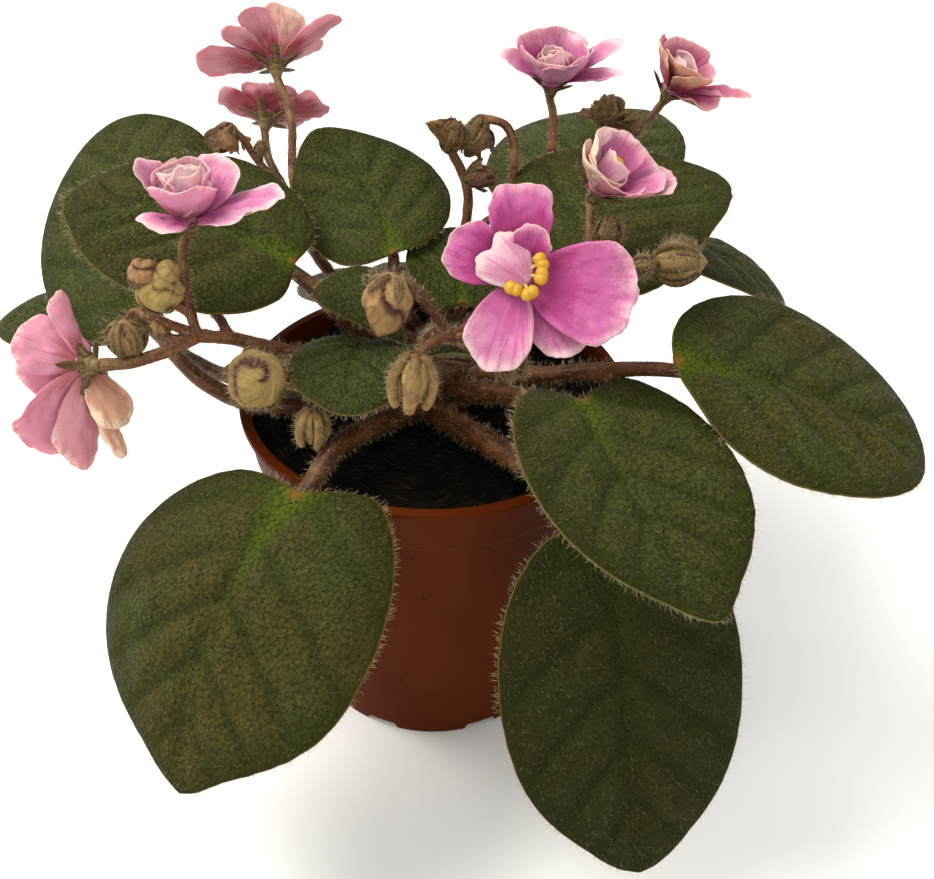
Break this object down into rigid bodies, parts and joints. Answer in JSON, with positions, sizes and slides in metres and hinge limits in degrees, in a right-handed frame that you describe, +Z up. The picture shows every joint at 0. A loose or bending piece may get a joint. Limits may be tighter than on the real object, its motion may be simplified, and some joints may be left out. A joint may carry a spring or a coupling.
{
  "type": "potted african violet",
  "caption": "Flowering houseplant in a small nursery pot: a loose rosette of hairy heart-shaped leaves on arching stalks, with sprays of double pink flowers and buds above them.",
  "frame": {"origin": "middle of the pot's base, on the surface it stands on", "axes": "+Z up along the pot's axis; -Y is the front of the plant, the side that the picture shows; +X is the picture's right"},
  "size_m": [0.216, 0.1836, 0.152],
  "materials": {
    "pot": "satin terracotta-brown plastic",
    "soil": "crumbly dark moist peat",
    "crown": "matte brown-green stem",
    "blade": "matte and hairy, dark olive green, with lighter midribs",
    "petiole": "satin reddish brown with fine pale hairs",
    "spray": "satin brown to green with fine pale hairs, buds paler",
    "petal": "soft satin pink, deeper to the middle, with pale edges",
    "anther": "satin yellow"
  },
  "bodies": {
    "root": {"crown": "crown", "flower_far_left_anthers": "anther", "flower_far_left_corolla": "petal", "flower_front_anthers": "anther", "flower_front_corolla": "petal", "flower_left_upper_anthers": "anther", "flower_left_upper_corolla": "petal", "flower_right_anthers": "anther", "flower_right_corolla": "petal", "flower_top_anthers": "anther", "flower_top_corolla": "petal", "flower_top_left_anthers": "anther", "flower_top_left_corolla": "petal", "flower_top_left_low_anthers": "anther", "flower_top_left_low_corolla": "petal", "flower_top_right_anthers": "anther", "flower_top_right_corolla": "petal", "leaf_back_left_blade": "blade", "leaf_back_left_petiole": "petiole", "leaf_back_right_blade": "blade", "leaf_back_right_petiole": "petiole", "leaf_front_left_blade": "blade", "leaf_front_left_petiole": "petiole", "leaf_front_low_blade": "blade", "leaf_front_low_petiole": "petiole", "leaf_front_right_blade": "blade", "leaf_front_right_petiole": "petiole", "leaf_left_blade": "blade", "leaf_left_far_blade": "blade", "leaf_left_far_petiole": "petiole", "leaf_left_petiole": "petiole", "leaf_left_rear_blade": "blade", "leaf_left_rear_petiole": "petiole", "leaf_rear_blade": "blade", "leaf_rear_petiole": "petiole", "leaf_rear_right_blade": "blade", "leaf_rear_right_petiole": "petiole", "leaf_right_blade": "blade", "leaf_right_petiole": "petiole", "leaf_right_rear_blade": "blade", "leaf_right_rear_petiole": "petiole", "leaf_small_front_blade": "blade", "leaf_small_front_petiole": "petiole", "leaf_small_left_blade": "blade", "leaf_small_left_petiole": "petiole", "leaf_small_rear_blade": "blade", "leaf_small_rear_petiole": "petiole", "leaf_smallest_blade": "blade", "leaf_smallest_petiole": "petiole", "leaf_top_blade": "blade", "leaf_top_petiole": "petiole", "pot": "pot", "soil": "soil", "spray_centre": "spray", "spray_left": "spray", "spray_low_left": "spray", "spray_rear": "spray", "spray_right": "spray", "spray_top_centre": "spray", "spray_top_left": "spray"}
  },
  "joints": []
}
